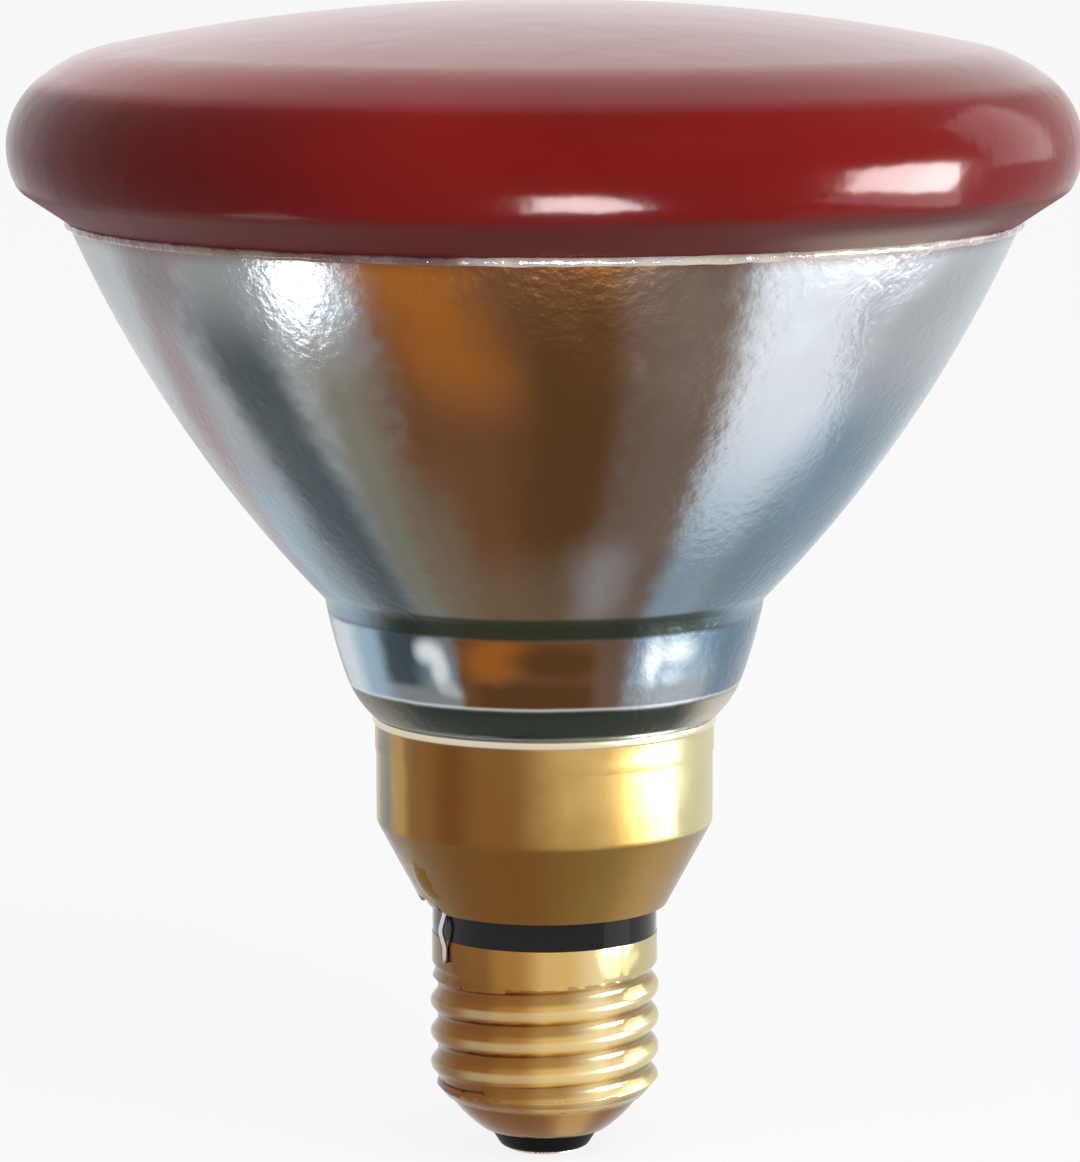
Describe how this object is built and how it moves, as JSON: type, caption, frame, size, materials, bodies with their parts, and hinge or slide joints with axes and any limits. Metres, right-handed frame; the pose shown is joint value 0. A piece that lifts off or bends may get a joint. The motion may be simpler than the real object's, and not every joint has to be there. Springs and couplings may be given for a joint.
{
  "type": "infrared heat lamp",
  "caption": "Pressed glass reflector heat lamp with a red dome lens, mirrored bowl, brass skirt and screw cap.",
  "frame": {"origin": "on the lamp's axis, at the underside of the centre contact", "axes": "+Z along the axis from the cap to the lens, -Y the side that the picture shows, +X to the picture's right"},
  "size_m": [0.1212, 0.1212, 0.1324],
  "materials": {
    "ruby_glass": "polished, red all through, taken as opaque because nothing shows through it",
    "mirrored_glass": "smooth glass with a bright aluminium coat behind it",
    "fused_glass": "fire-polished bead with a broken, sparkling surface",
    "brass": "drawn and rolled sheet, satin to bright",
    "black_glass": "glossy black, opaque",
    "clear_glass": "smooth, melted shut",
    "cement": "baked, matt",
    "nickel_iron": "drawn, dull",
    "lead_wire": "drawn, bright",
    "solder": "bright, slightly dull"
  },
  "bodies": {
    "root": {"lens": "ruby_glass", "reflector": "mirrored_glass", "rim_seal": "fused_glass", "brass_skirt": "brass", "capping_cement": "cement", "insulating_ring": "black_glass", "screw_shell": "brass", "tip_insulator": "black_glass", "centre_contact": "brass", "contact_solder": "solder", "centre_lead": "lead_wire", "side_lead": "lead_wire", "side_ferrule": "nickel_iron", "centre_ferrule": "nickel_iron", "exhaust_tube": "clear_glass"}
  },
  "joints": []
}
